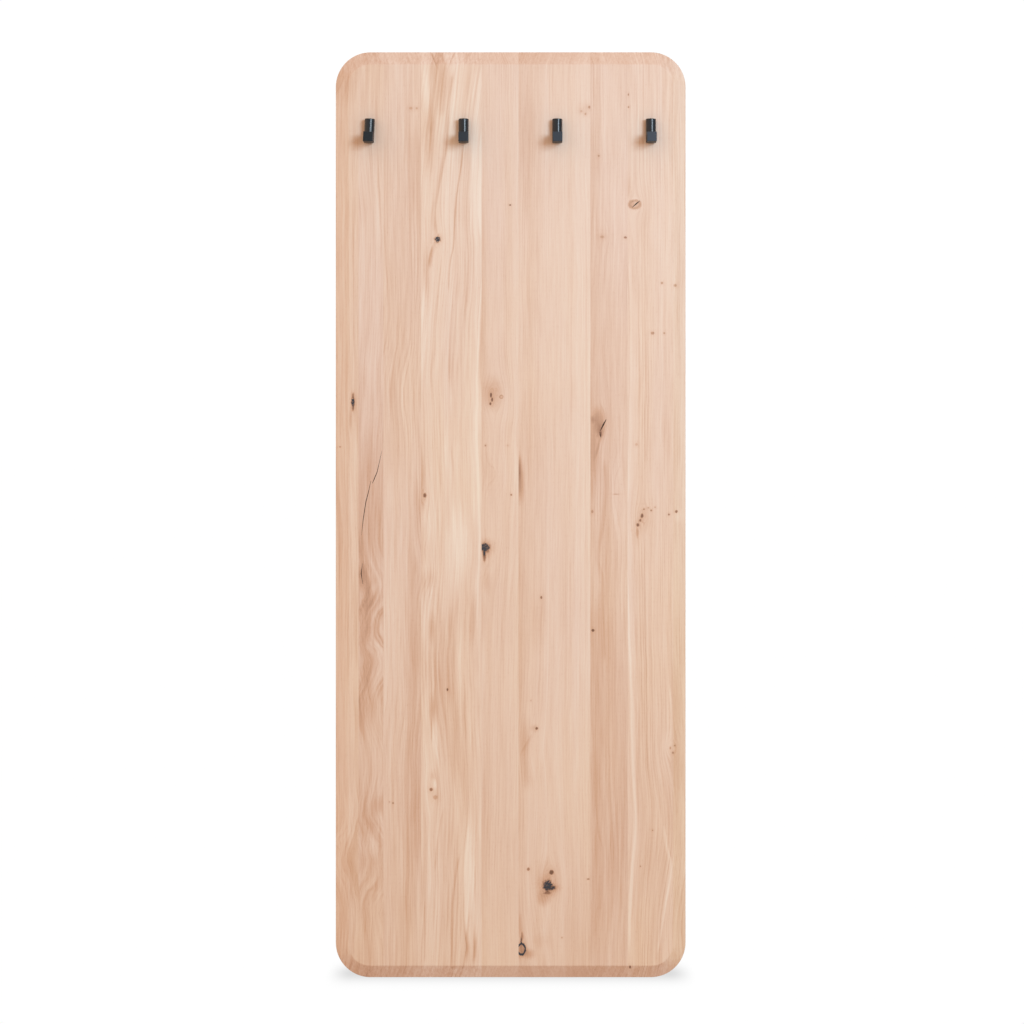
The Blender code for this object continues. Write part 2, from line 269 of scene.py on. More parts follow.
def oak(name, look, seed):
    """The oak of one stave. A log's rings cross it: their centre line runs behind or beside the stave, so
    the same rings show on the face, the chamfer and the end. They follow the stave's `path`, `bends` push
    them aside and `bumps` fold them into flames. Clouds, streaks and veins shift the tone where the figure
    is darker or paler."""
    tree = Tree(name)
    x, y, z = tree.position()
    across_x, _, up = tree.normal()

    slow = tree.noise(x * 3.0, y * 3.0, z * 1.3 + seed * 7.3, detail=1.0)
    quick = tree.noise(x * 12.0, y * 12.0, z * 9.0 + seed * 3.1, detail=2.0)
    shake = tree.noise(x * 55.0, y * 55.0, z * 30.0 + seed * 2.3, detail=1.0)
    wander = look.get("wander", 0.006)
    jitter = quick * look.get("ripple", 0.0025) + shake * 0.0007
    sway = slow * (2 * wander) + jitter
    stir = 0.0
    for centre_z, reach, _ in look.get("tilts", ()):
        stir = ((z - centre_z) / (reach * 1.3)).bell() + stir
    if "tilts" in look:
        twist = tree.noise(x * 45, y * 45, z * 26 + seed * 1.7, detail=2.0)
        sway = sway + twist * stir * look["curl"]
    bent = x + sway
    if "path" in look:
        bent = bent - tree.level(z, look["path"])

    ragged = tree.noise(x * 300, y * 300, z * 240, detail=3.0, rough=0.7)
    flat = tree.add("CombineXYZ", (x, 0.0, z))
    swayed = tree.add("CombineXYZ", (x + sway, 0.0, z))
    for centre_x, centre_z, radius, stretch in look.get("bends", ()):
        dx = x - centre_x
        dz = (z - centre_z) / stretch
        reach = dx * dx + dz * dz + radius * radius * 0.45
        bent = bent - dx * (radius * radius) / reach

    pith_x, pith_y, drift_x, drift_y = look["pith"]
    from_x = bent - pith_x - z * drift_x
    from_y = y - pith_y - z * drift_y + slow * wander
    radius = (from_x * from_x + from_y * from_y).math("SQRT")

    count = radius / look["ring"]
    count = count + tree.noise(count * 0.21, seed, z * 0.5, detail=1.0) * 1.6
    gain = 1.0
    for centre_x, centre_z, wide, high, rings in look.get("bumps", ()):
        near = from_centre(tree, flat, (centre_x, centre_z, wide * 2, high * 2)).bell()
        count = count + near * rings
        gain = near * look.get("vivid", 0.3) + gain
    for centre_z, reach, slope in look.get("tilts", ()):
        off = z - centre_z
        near = (off / reach).bell()
        count = count + off * slope * near
        gain = near * look.get("vivid", 0.3) + gain

    year = count.math("FLOOR")
    strength = tree.noise(year * 3.7, seed, 0.5, detail=0.0)
    bands = tree.noise(count * 0.17, seed + 0.5, z * 0.9, detail=2.0)
    lines = tree.noise(count * 0.80, seed + 3.1, z * 1.6, detail=3.0, rough=0.6)
    early = (count.math("FRACT") ** 4.0 - 0.2) * (strength * 2.4 + 1.0)
    fade = tree.noise(bent * 20, y * 20, z * 4.5 + seed * 4.1, detail=1.0) * 1.3 + 1.0
    threads = tree.noise(bent * 330, y * 330, z * 11 + seed, detail=1.0)
    fibres = tree.noise(bent * 1100, y * 1100, z * 16 + seed, detail=2.0, rough=0.6)
    pores = tree.noise(bent * 2300, y * 2300, z * 130 + seed, detail=0.0).clear(0.22, 0.5)
    patches = tree.noise(x * 9, y * 9, z * 3.2 + seed * 5.7, detail=2.0)

    marks = lines * look.get("lines", 0.70) - early * look.get("early", 0.22)
    figure = bands * look.get("bands", 0.45) + marks * fade
    tone = tree.level(z, look["tone"]) + figure * gain
    tone = tone + threads * look.get("threads", 0.50) + fibres * 0.45 - pores * 0.25
    tone = tone + patches * 0.25

    for centre, low, high, spread, shift in look.get("streaks", ()):
        near = ((bent - centre) / spread).bell() * z.between(low + 0.04, high - 0.04, 0.08)
        tone = tone + near * shift

    for cloud in look.get("clouds", ()):
        away = from_centre(tree, swayed, (*cloud[:4], *cloud[5:])) + ragged * 0.12
        tone = tone + (away.clear(1.3, 0.1) * (lines * 0.8 + 1.0)) * cloud[4]

    for points, width, shift in look.get("veins", ()):
        off = (x + jitter * 0.4 - tree.level(z, points)) / width
        near = off.clear(-0.7, 0.0) * off.clear(1.9, 0.0)
        tone = tone + near * z.between(points[0][0] + 0.02, points[-1][0] - 0.02, 0.02) * shift

    speckle = tree.noise(x * 260 + seed, y * 260, z * 420, detail=2.0, rough=0.6)
    filled = None
    for knot in look.get("dots", ()):
        away = from_centre(tree, flat, knot[:4]) + ragged * 0.45
        tone = tone - away.clear(1.35, 0.5) * (knot[4] * 1.35) - away.clear(4.0, 0.8) * 0.20
    for knot in look.get("rings", ()):
        away = from_centre(tree, flat, knot[:4]) + ragged * 0.25
        tone = tone - abs(away - 1.0).clear(0.45, 0.05) * knot[4] - away.clear(1.1, 0.7) * 0.5
    for knot in look.get("filled", ()):
        away = from_centre(tree, flat, knot) + ragged * 0.9
        tone = tone - away.clear(3.4, 0.9) * 0.55 - away.clear(1.7, 0.95) * 0.9
        core = away.clear(1.14, 0.84) * (speckle * 1.5 + 1.0)
        filled = core if filled is None else filled.math("MAXIMUM", core)
    for knot in look.get("hoops", ()):
        away = from_centre(tree, flat, knot) + ragged * 0.30
        tone = tone - away.clear(1.9, 1.0) * 0.6
        core = abs(away - 1.0).clear(0.30, 0.12)
        filled = core if filled is None else filled.math("MAXIMUM", core)

    # Shade by the way a face looks: the chamfer at top and foot darkens (its end grain, plus painted shade),
    # the foot
    # darkens further (painted shade), and the end faces darken with their own end grain.
    steep = abs(up)
    edge = steep.clear(0.10, 0.40)
    left = (across_x * -1).clear(0.10, 0.40)
    right = across_x.clear(0.10, 0.40)
    foot = (up * -1).clear(0.10, 0.40)
    tone = tone - edge * CHAMFER_GRAIN_AND_SHADE - steep.clear(0.55, 0.95) * END_SINK - foot * FOOT_PAINTED_SHADE
    # The side chamfers get lighter towards the top and darker towards the foot: painted light and shade.
    tone = tone + (left + right) * (z * 0.07 - 0.01)

    warmth = tree.level(z, look.get("warm", ((-0.8, 0.50), (0.8, 0.15)))) + patches * 0.4 - bands * 0.3
    # The chamfer at top and foot and the left chamfer are made less golden, the right chamfer more golden
    # towards the
    # foot: painted tint of the light falling on each side.
    warmth = warmth - edge * CHAMFER_PAINTED_COOL - left * 0.1 + right * (z * -0.3 + 0.35)
    color = tree.mix(warmth, tree.ramp(tone, OAK_TONES), tree.ramp(tone, OAK_GOLD))
    roughness = 0.52 - lines * 0.04 + pores * 0.05
    if filled is not None:
        color = tree.mix(filled, color, FILLER)
        roughness = roughness - filled * 0.12
    # Inside each crack, just behind the face, the wood is painted dark: painted shade in the gap.
    for points in look.get("cracks", ()):
        xs = [point[0] for point in points]
        zs = [point[1] for point in points]
        inside = y.clear(FRONT + 0.0002, FRONT + 0.0009) * y.clear(FRONT + 0.0080, FRONT + 0.0070)
        inside = inside * x.between(min(xs) - 0.001, max(xs) + 0.001, 0.001)
        inside = inside * z.between(min(zs) - 0.001, max(zs) + 0.001, 0.001)
        color = tree.mix(inside, color, CRACK_PAINTED_SHADE)
    tree.put(tree.shader.inputs["Base Color"], color)
    tree.put(tree.shader.inputs["Roughness"], roughness)
    tree.shader.inputs["Specular IOR Level"].default_value = 0.35
    tree.bump(lines * 0.35 + fibres * 0.35 - pores * 0.9, 0.00006)
    return tree.material


# Each stave, in metres. `pith` is where the log's centre line passes and how it drifts with height, `ring` a
# ring's width. `tone` is its shade, `warm` how golden it is and `path` how far its grain leans, from foot to
# top. `wander`, `ripple` and `curl` make the grain waver; `bands`, `lines`, `early`, `threads` and `vivid`
# are the figure's strength. The rest has a place and a size: `bends` push rings aside, `bumps` add some,
# `tilts` slant them; `clouds`, `streaks` and `veins` (which fade to one side) shift the tone; `dots` and
# `rings` are pin knots, `filled` and `hoops` knots with dark filler, and `cracks` (x, z, width) are open.
LOOKS = {
    1: {
        "pith": (0.30, 0.30, -0.012, 0.0),
        "ring": 0.0042,
        "bands": 0.34,
        "lines": 0.62,
        "early": 0.12,
        "threads": 0.60,
        "tone": ((-0.8, 0.72), (-0.35, 0.95), (-0.15, 0.66), (0.1, 0.66), (0.4, 0.75), (0.8, 0.95)),
        "warm": ((-0.8, 0.70), (0.0, 0.50), (0.8, 0.42)),
        "bumps": ((-0.290, 0.770, 0.025, 0.040, 3),),
        "tilts": ((-0.550, 0.050, 55), (-0.640, 0.060, -50)),
        "curl": 0.005,
        "filled": ((-0.272, 0.195, 0.0050, 0.0135, 0),),
        "dots": (
            (-0.295, 0.1175, 0.004, 0.002, 1.2),
            (-0.272, 0.206, 0.0030, 0.010, 1.2),
            (-0.272, 0.184, 0.0030, 0.010, 1.3),
        ),
        "streaks": ((-0.270, -0.10, 0.14, 0.006, 0.35),),
        "clouds": (
            (-0.288, 0.755, 0.06, 0.10, -0.6),
            (-0.272, -0.62, 0.03, 0.14, -0.4),
            (-0.274, 0.165, 0.006, 0.050, -0.7),
            (-0.292, 0.15, 0.044, 0.90, 0.38),
        ),
    },
    2: {
        "pith": (0.40, 0.30, 0.0, 0.0),
        "ring": 0.0062,
        "lines": 0.80,
        "early": 0.10,
        "threads": 0.65,
        "vivid": 0.7,
        "path": (
            (-0.8, 0.0), (-0.4, 0.006), (-0.1, -0.006), (0.2, 0.0), (0.5, 0.008), (0.62, 0.0),
            (0.8, 0.0),
        ),
        "tone": (
            (-0.8, 0.70), (-0.48, 0.85), (-0.30, 0.45), (-0.15, 0.46), (0.05, 0.70), (0.20, 0.85),
            (0.35, 1.02), (0.8, 0.76),
        ),
        "warm": ((-0.8, 0.55), (0.0, 0.1), (0.8, 0.45)),
        "tilts": ((-0.165, 0.060, 125), (-0.290, 0.070, 100), (-0.540, 0.055, -75), (-0.650, 0.050, 65)),
        "curl": 0.008,
        "clouds": (
            (-0.246, 0.00, 0.05, 0.22, -0.45),
            (-0.243, -0.165, 0.05, 0.10, -0.75),
            (-0.246, -0.28, 0.04, 0.16, -0.4),
            (-0.246, -0.55, 0.05, 0.14, -0.4),
            (-0.240, -0.13, 0.012, 0.04, 0.5, 30),
            (-0.257, -0.105, 0.016, 0.050, -1.1),
            (-0.258, -0.060, 0.014, 0.090, -0.4),
            (-0.236, -0.185, 0.020, 0.055, 0.6),
            (-0.252, -0.205, 0.020, 0.060, -0.5),
            (-0.258, -0.350, 0.022, 0.090, -0.5),
            (-0.230, -0.500, 0.024, 0.040, -0.5),
            (-0.238, -0.565, 0.024, 0.060, 0.7),
            (-0.257, -0.600, 0.020, 0.050, -0.5),
            (-0.240, -0.690, 0.030, 0.080, -0.2),
            (-0.228, -0.200, 0.016, 0.110, 0.6),
            (-0.230, -0.330, 0.020, 0.130, 0.5),
            (-0.250, -0.125, 0.020, 0.040, -0.4),
            (-0.242, 0.100, 0.030, 0.120, -0.25),
        ),
        "cracks": (
            (
                (-0.2222, 0.1110, 0.0003), (-0.2302, 0.0750, 0.0010), (-0.2350, 0.0630, 0.0013),
                (-0.2388, 0.0545, 0.0004),
            ),
            (
                (-0.2412, 0.0590, 0.0004), (-0.2462, 0.0370, 0.0011), (-0.2498, 0.0230, 0.0012),
                (-0.2545, -0.0080, 0.0010), (-0.2572, -0.0350, 0.0003),
            ),
            ((-0.2557, -0.0830, 0.0003), (-0.2580, -0.1010, 0.0013), (-0.2552, -0.1190, 0.0004)),
        ),
    },
    3: {
        "pith": (-0.070, 0.070, 0.0, 0.010),
        "ring": 0.0036,
        "wander": 0.005,
        "lines": 0.60,
        "threads": 0.55,
        "tone": (
            (-0.8, 0.77), (-0.50, 0.78), (-0.32, 0.94), (-0.15, 1.05), (0.0, 1.03), (0.20, 0.75),
            (0.45, 0.85), (0.8, 0.96),
        ),
        "warm": ((-0.8, 0.50), (0.0, 0.35), (0.8, 0.28)),
        "tilts": ((0.280, 0.100, 35), (-0.360, 0.120, 20)),
        "curl": 0.002,
        "bumps": ((-0.158, 0.340, 0.014, 0.040, -2.2), (-0.158, -0.090, 0.012, 0.050, 2.5)),
        "streaks": ((-0.160, -0.60, 0.05, 0.012, -0.5), (-0.170, -0.72, -0.15, 0.008, -0.35)),
        "clouds": ((-0.166, 0.60, 0.03, 0.20, -0.3), (-0.167, -0.12, 0.02, 0.10, -0.2)),
        "dots": (
            (-0.172, 0.702, 0.006, 0.005, 0.5),
            (-0.162, 0.702, 0.004, 0.004, 0.6),
            (-0.203, -0.497, 0.003, 0.003, 1.0),
            (-0.209, -0.495, 0.002, 0.002, 0.8),
        ),
    },
    4: {
        "pith": (0.20, 0.16, 0.0, 0.0),
        "ring": 0.0058,
        "ripple": 0.0035,
        "bands": 0.9,
        "lines": 0.80,
        "early": 0.20,
        "threads": 0.75,
        "vivid": 0.5,
        "path": (
            (-0.8, -0.004), (-0.55, 0.006), (-0.3, 0.0), (0.0, 0.002), (0.3, -0.003), (0.45, 0.003),
            (0.52, 0.0), (0.60, 0.004), (0.69, 0.013), (0.8, 0.028),
        ),
        "tone": (
            (-0.8, 0.98), (-0.50, 1.05), (-0.32, 0.95), (-0.15, 1.15), (0.2, 1.12), (0.5, 1.22),
            (0.8, 1.0),
        ),
        "warm": ((-0.8, 0.6), (0.8, 0.35)),
        "bends": ((-0.126, 0.476, 0.007, 3.5), (-0.136, -0.472, 0.008, 3.5), (-0.15, 0.034, 0.006, 2.5)),
        "bumps": (
            (-0.118, 0.790, 0.014, 0.070, -1.0),
            (-0.142, 0.640, 0.012, 0.050, 0.9),
            (-0.140, -0.020, 0.014, 0.040, 2.0),
            (-0.142, -0.100, 0.014, 0.035, 2.0),
            (-0.118, -0.270, 0.022, 0.080, -1.2),
            (-0.121, -0.410, 0.010, 0.050, 0.9),
            (-0.072, -0.620, 0.015, 0.090, -1.2),
            (-0.070, -0.745, 0.012, 0.030, 0.6),
        ),
        "filled": ((-0.126, 0.476, 0.0085, 0.0100, 20),),
        "dots": (
            (-0.148, 0.034, 0.006, 0.008, 1.6),
            (-0.109, -0.301, 0.003, 0.005, 1.8),
            (-0.137, -0.4735, 0.006, 0.006, 1.6),
            (-0.1300, -0.487, 0.008, 0.008, 0.7),
        ),
        "clouds": (
            (-0.124, 0.755, 0.034, 0.14, -0.40),
            (-0.145, 0.655, 0.030, 0.14, -0.80),
            (-0.148, 0.330, 0.018, 0.260, 0.30),
            (-0.080, -0.235, 0.013, 0.160, 0.40),
            (-0.084, -0.520, 0.015, 0.140, 0.35),
            (-0.130, -0.450, 0.012, 0.022, -0.6),
            (-0.058, -0.745, 0.012, 0.080, -0.7),
            (-0.147, 0.735, 0.012, 0.10, 0.5),
            (-0.147, 0.420, 0.016, 0.10, -0.7),
            (-0.147, 0.110, 0.022, 0.32, -0.5),
            (-0.146, -0.060, 0.016, 0.08, -0.5),
            (-0.135, -0.110, 0.030, 0.04, -0.4),
            (-0.143, -0.260, 0.022, 0.14, -0.4),
            (-0.083, -0.260, 0.020, 0.20, 0.3),
            (-0.054, 0.350, 0.012, 0.30, -0.35),
            (-0.062, 0.680, 0.030, 0.45, 0.5),
            (-0.118, -0.27, 0.050, 0.20, -0.25),
            (-0.129, -0.195, 0.016, 0.06, -0.6),
            (-0.128, -0.335, 0.018, 0.06, -0.6),
            (-0.146, -0.120, 0.014, 0.05, -0.5),
            (-0.126, -0.405, 0.015, 0.13, 0.6),
            (-0.126, -0.465, 0.008, 0.018, 0.6),
            (-0.150, 0.05, 0.012, 0.12, -0.6),
            (-0.085, -0.05, 0.045, 0.17, 0.9),
            (-0.062, -0.180, 0.020, 0.10, -0.4),
            (-0.070, -0.62, 0.030, 0.22, 0.6),
            (-0.068, -0.750, 0.022, 0.08, -0.4),
        ),
        "veins": (
            (((0.650, -0.1410), (0.680, -0.1389), (0.710, -0.1389), (0.790, -0.1360)), 0.006, -0.5),
            (((0.680, -0.1197), (0.712, -0.1153), (0.746, -0.1101), (0.785, -0.1055)), -0.008, -0.5),
            (
                (
                    (0.478, -0.1262), (0.503, -0.1297), (0.529, -0.1297), (0.555, -0.1258),
                    (0.604, -0.1166), (0.633, -0.1114), (0.706, -0.1062), (0.732, -0.1036),
                    (0.770, -0.0975),
                ),
                -0.005,
                -0.9,
            ),
            (
                (
                    (0.380, -0.1060), (0.440, -0.1028), (0.461, -0.0983), (0.497, -0.0965),
                    (0.536, -0.0944), (0.570, -0.0905), (0.602, -0.0853), (0.650, -0.0800),
                ),
                -0.0018,
                -0.9,
            ),
            (((0.420, -0.1410), (0.453, -0.1376), (0.475, -0.1290)), 0.0045, -1.1),
            (((0.765, -0.1250), (0.785, -0.1320), (0.810, -0.1420)), 0.002, -0.8),
            (((0.765, -0.1100), (0.785, -0.1030), (0.810, -0.0920)), 0.002, -0.8),
            (
                (
                    (-0.790, -0.1013), (-0.735, -0.1013), (-0.673, -0.1001), (-0.632, -0.0952),
                    (-0.580, -0.0860),
                ),
                -0.0030,
                -0.6,
            ),
            (((-0.620, -0.1320), (-0.530, -0.1210), (-0.500, -0.1150)), 0.003, -0.5),
            (((-0.740, -0.0790), (-0.705, -0.0740), (-0.675, -0.0700)), 0.0035, -0.5),
            (((-0.780, -0.0670), (-0.745, -0.0625), (-0.720, -0.0590)), 0.0030, -0.5),
            (((-0.680, -0.0623), (-0.600, -0.0623)), 0.0018, -0.6),
            (((-0.400, -0.1365), (-0.345, -0.1362)), -0.0015, -0.8),
            (((-0.780, -0.1486), (-0.660, -0.1486)), 0.0025, -0.5),
        ),
        "streaks": (
            (-0.0545, -0.14, 0.70, 0.0020, 0.7),
            (-0.062, 0.0, 0.75, 0.012, 0.3),
            (-0.100, 0.22, 0.55, 0.0025, -0.6),
            (-0.095, -0.45, -0.15, 0.0140, -0.20),
            (-0.048, 0.20, 0.50, 0.0060, -0.30),
            (-0.064, -0.60, -0.38, 0.0060, -0.40),
        ),
    },
    5: {
        "pith": (0.28, 0.20, 0.0, 0.0),
        "ring": 0.0034,
        "wander": 0.005,
        "bands": 0.45,
        "lines": 0.30,
        "early": 0.20,
        "threads": 0.35,
        "path": ((-0.8, -0.016), (-0.4, -0.014), (-0.15, -0.008), (0.0, 0.0), (0.8, 0.0)),
        "tone": (
            (-0.8, 0.95), (-0.32, 0.93), (-0.15, 0.75), (0.2, 0.76), (0.37, 0.75), (0.55, 0.88),
            (0.8, 0.86),
        ),
        "bends": ((-0.028, 0.203, 0.014, 1.8),),
        "bumps": ((-0.024, 0.070, 0.018, 0.030, 4), (-0.030, -0.080, 0.020, 0.040, 3)),
        "filled": ((-0.0446, -0.0556, 0.0152, 0.0130, 0), (-0.0455, -0.0640, 0.0031, 0.012, 0)),
        "dots": (
            (-0.0340, 0.207, 0.0035, 0.008, 1.9),
            (-0.0320, 0.199, 0.0030, 0.007, 1.9),
            (-0.0350, 0.192, 0.0035, 0.005, 1.6),
            (-0.0395, -0.060, 0.005, 0.012, 0.4),
            (-0.0452, -0.072, 0.0050, 0.018, 1.1),
            (-0.001, 0.535, 0.0035, 0.0025, 2.2),
            (-0.0435, 0.120, 0.003, 0.003, 0.9),
            (-0.005, 0.120, 0.003, 0.003, 0.3),
            (0.001, 0.035, 0.0035, 0.0035, 1.3),
        ),
        "rings": ((-0.016, 0.204, 0.006, 0.006, 0.9),),
        "clouds": (
            (-0.029, 0.210, 0.040, 0.064, -0.8),
            (-0.040, -0.115, 0.018, 0.05, -0.4),
            (-0.050, -0.180, 0.020, 0.12, -0.3),
            (0.010, 0.08, 0.006, 0.10, 0.4),
            (0.010, 0.10, 0.040, 2.2, 0.35),
            (-0.049, 0.32, 0.030, 0.50, -0.25),
            (-0.046, -0.53, 0.030, 0.30, -0.25),
        ),
    },
    6: {
        "pith": (-0.30, 0.25, 0.0, 0.0),
        "ring": 0.0034,
        "wander": 0.005,
        "bands": 0.55,
        "lines": 0.30,
        "early": 0.18,
        "threads": 0.38,
        "tone": ((-0.8, 0.70), (-0.5, 0.85), (0.0, 0.90), (0.3, 0.98), (0.6, 1.02), (0.8, 0.74)),
        "bends": ((0.067, -0.630, 0.014, 2.2), (0.0155, -0.748, 0.012, 2.0)),
        "bumps": ((0.040, -0.400, 0.026, 0.050, 3), (0.045, -0.730, 0.025, 0.040, 3)),
        "filled": (
            (0.0640, -0.6390, 0.015, 0.016, 0),
            (0.0700, -0.6430, 0.014, 0.006, 0),
            (0.0180, -0.7350, 0.0016, 0.010, 0),
        ),
        "hoops": ((0.0186, -0.7490, 0.0130, 0.0185),),
        "dots": (
            (0.0705, -0.6165, 0.008, 0.008, 1.9),
            (0.0305, -0.6110, 0.005, 0.006, 1.5),
            (0.0635, -0.6520, 0.014, 0.005, 0.9),
            (0.053, -0.142, 0.0035, 0.005, 1.5),
            (0.045, -0.368, 0.0045, 0.005, 1.7),
            (0.035, -0.320, 0.002, 0.003, 0.5),
            (0.0885, -0.729, 0.0025, 0.003, 0.9),
            (0.0190, -0.7490, 0.010, 0.015, 0.5),
            (0.0200, -0.7270, 0.004, 0.016, 0.8),
            (0.134, -0.628, 0.005, 0.0025, 1.3),
            (0.136, 0.704, 0.005, 0.005, 0.9),
            (0.122, 0.697, 0.004, 0.004, 0.5),
            (0.129, 0.692, 0.0035, 0.0035, 0.7),
        ),
        "clouds": (
            (0.0175, 0.060, 0.016, 0.08, -1.2),
            (0.0165, 0.085, 0.008, 0.05, -0.6),
            (0.066, -0.63, 0.05, 0.08, -0.45),
            (0.028, -0.38, 0.03, 0.07, -0.35),
            (0.025, 0.64, 0.04, 0.30, -0.3),
            (0.018, -0.30, 0.03, 0.70, -0.35),
            (0.132, 0.00, 0.050, 2.00, 0.35),
            (0.030, -0.42, 0.018, 0.09, -0.5),
            (0.050, -0.18, 0.040, 0.12, -0.25),
            (0.050, 0.13, 0.090, 0.20, -0.20),
            (0.032, -0.757, 0.028, 0.020, -0.9),
            (0.054, -0.735, 0.030, 0.030, -0.3),
            (0.0350, -0.455, 0.024, 0.050, -0.3),
            (0.045, -0.368, 0.016, 0.016, -0.5),
            (0.128, 0.700, 0.032, 0.032, -0.4),
            (0.060, -0.662, 0.026, 0.030, -0.9),
        ),
        "veins": (
            (((-0.420, 0.0150), (-0.395, 0.0260), (-0.368, 0.0440)), 0.004, -0.35),
            (((-0.735, 0.0160), (-0.700, 0.0150), (-0.680, 0.0160)), 0.003, -0.7),
            (((-0.320, 0.0470), (-0.250, 0.0500), (-0.142, 0.0540)), 0.002, -0.3),
        ),
    },
    7: {
        "pith": (0.45, 0.20, 0.010, 0.0),
        "ring": 0.0046,
        "bands": 0.50,
        "lines": 0.42,
        "early": 0.22,
        "threads": 0.48,
        "tone": (
            (-0.8, 0.66), (-0.5, 0.53), (-0.35, 0.50), (-0.2, 0.53), (0.03, 0.72), (0.3, 0.62),
            (0.55, 0.84), (0.8, 0.76),
        ),
        "warm": ((-0.8, 0.3), (-0.2, 0.3), (0.8, 0.0)),
        "bumps": (
            (0.158, 0.160, 0.012, 0.030, 2.6),
            (0.163, 0.480, 0.010, 0.020, 1.6),
            (0.180, 0.040, 0.012, 0.060, -2),
            (0.165, -0.620, 0.020, 0.120, 3),
        ),
        "dots": (
            (0.142, -0.199, 0.0045, 0.0045, 2.6),
            (0.158, 0.480, 0.007, 0.005, 0.5),
            (0.198, 0.479, 0.005, 0.004, 1.4),
            (0.152, 0.620, 0.0035, 0.0035, 0.7),
            (0.182, 0.036, 0.010, 0.0015, 0.7),
            (0.1555, 0.1400, 0.0045, 0.010, 0.8),
            (0.141, 0.006, 0.004, 0.006, 0.7),
        ),
        "clouds": (
            (0.155, 0.164, 0.030, 0.050, -0.7),
            (0.158, 0.146, 0.018, 0.034, -0.6),
            (0.150, 0.120, 0.022, 0.120, -0.5),
            (0.142, 0.165, 0.012, 0.016, -0.5),
            (0.142, 0.10, 0.018, 0.24, -0.5),
            (0.139, 0.60, 0.030, 0.60, -0.15),
            (0.160, -0.04, 0.030, 0.12, -0.2),
            (0.149, -0.46, 0.022, 0.12, -0.3),
            (0.178, -0.61, 0.024, 0.16, -0.3),
        ),
        "veins": (
            (
                (
                    (-0.260, 0.1630), (-0.164, 0.1602), (-0.110, 0.1591), (-0.075, 0.1512),
                    (-0.057, 0.1530), (-0.003, 0.1620), (0.100, 0.1620),
                ),
                -0.0050,
                -0.35,
            ),
            (((0.090, 0.1430), (0.110, 0.1500), (0.140, 0.1570)), -0.0030, -0.5),
        ),
        "streaks": ((0.150, -0.75, -0.15, 0.010, -0.35),),
        "cracks": (
            ((0.1648, 0.1650, 0.0010), (0.1600, 0.1560, 0.0024), (0.1545, 0.1450, 0.0007)),
            ((0.1538, 0.1435, 0.0005), (0.1545, 0.1380, 0.0014), (0.1558, 0.1335, 0.0004)),
        ),
    },
    8: {
        "pith": (0.75, 0.25, 0.0, 0.0),
        "ring": 0.0040,
        "wander": 0.005,
        "bands": 0.40,
        "lines": 0.48,
        "early": 0.28,
        "threads": 0.50,
        "path": (
            (-0.8, -0.004), (-0.7, -0.004), (-0.53, 0.009), (-0.42, 0.004), (-0.31, -0.001),
            (-0.1, -0.007), (0.1, -0.008), (0.35, -0.003), (0.8, 0.0),
        ),
        "tone": ((-0.8, 0.82), (-0.5, 0.91), (-0.3, 0.87), (0.0, 1.00), (0.4, 0.94), (0.8, 0.82)),
        "warm": ((-0.8, 0.75), (-0.2, 0.4), (0.8, 0.2)),
        "bends": ((0.214, 0.536, 0.010, 1.6), (0.279, -0.402, 0.010, 1.8), (0.229, 0.0, 0.010, 1.8)),
        "bumps": ((0.270, -0.560, 0.020, 0.120, 3), (0.285, -0.700, 0.016, 0.080, -3)),
        "streaks": ((0.2065, -0.75, 0.10, 0.0026, 0.9), (0.262, -0.80, -0.45, 0.006, -0.3)),
        "dots": (
            (0.203, 0.7255, 0.0025, 0.004, 1.0),
            (0.203, 0.704, 0.0035, 0.0035, 0.9),
            (0.261, 0.4005, 0.0045, 0.0045, 1.0),
            (0.284, 0.3965, 0.006, 0.005, 0.9),
            (0.245, 0.314, 0.0065, 0.0055, 1.0),
            (0.265, 0.314, 0.0035, 0.0035, 0.8),
            (0.2265, -0.001, 0.005, 0.008, 1.7),
            (0.2235, -0.009, 0.004, 0.005, 1.2),
            (0.2195, -0.017, 0.005, 0.006, 1.7),
            (0.2300, 0.010, 0.004, 0.003, 0.9),
            (0.2375, 0.0125, 0.003, 0.003, 0.7),
            (0.2425, 0.008, 0.0035, 0.0035, 1.1),
            (0.2490, 0.0135, 0.003, 0.003, 0.6),
            (0.2185, -0.031, 0.006, 0.016, 0.5),
            (0.273, 0.001, 0.0035, 0.0035, 1.3),
            (0.286, 0.006, 0.005, 0.005, 1.7),
            (0.217, 0.122, 0.005, 0.005, 0.5),
            (0.2755, -0.402, 0.0030, 0.005, 0.8),
            (0.2830, -0.398, 0.0035, 0.003, 0.7),
            (0.2800, -0.410, 0.0040, 0.004, 0.8),
            (0.245, -0.544, 0.0025, 0.0025, 0.7),
            (0.224, -0.606, 0.0025, 0.0025, 0.8),
            (0.206, -0.780, 0.003, 0.006, 1.8),
        ),
        "rings": ((0.214, 0.536, 0.019, 0.014, 1.0),),
        "clouds": (
            (0.228, -0.01, 0.03, 0.05, -0.35),
            (0.289, 0.0, 0.02, 0.03, 0.4),
            (0.214, 0.534, 0.022, 0.018, -0.4),
            (0.208, 0.560, 0.012, 0.060, -0.3),
            (0.271, 0.45, 0.030, 0.50, 0.25),
            (0.286, -0.42, 0.028, 0.50, -0.45),
            (0.219, -0.45, 0.012, 0.26, -0.3),
            (0.275, -0.395, 0.020, 0.050, 0.5),
        ),
        "veins": (
            (
                (
                    (-0.760, 0.2530), (-0.681, 0.2662), (-0.606, 0.2775), (-0.569, 0.2700),
                    (-0.530, 0.2650),
                ),
                -0.003,
                0.6,
            ),
            (((-0.390, 0.2740), (-0.340, 0.2760), (-0.290, 0.2720)), 0.0025, 0.5),
        ),
        "cracks": (((0.2098, 0.5310, 0.0005), (0.2165, 0.5370, 0.0022), (0.2232, 0.5425, 0.0005)),),
    },
}


# ---------------------------------------------------------------- panel


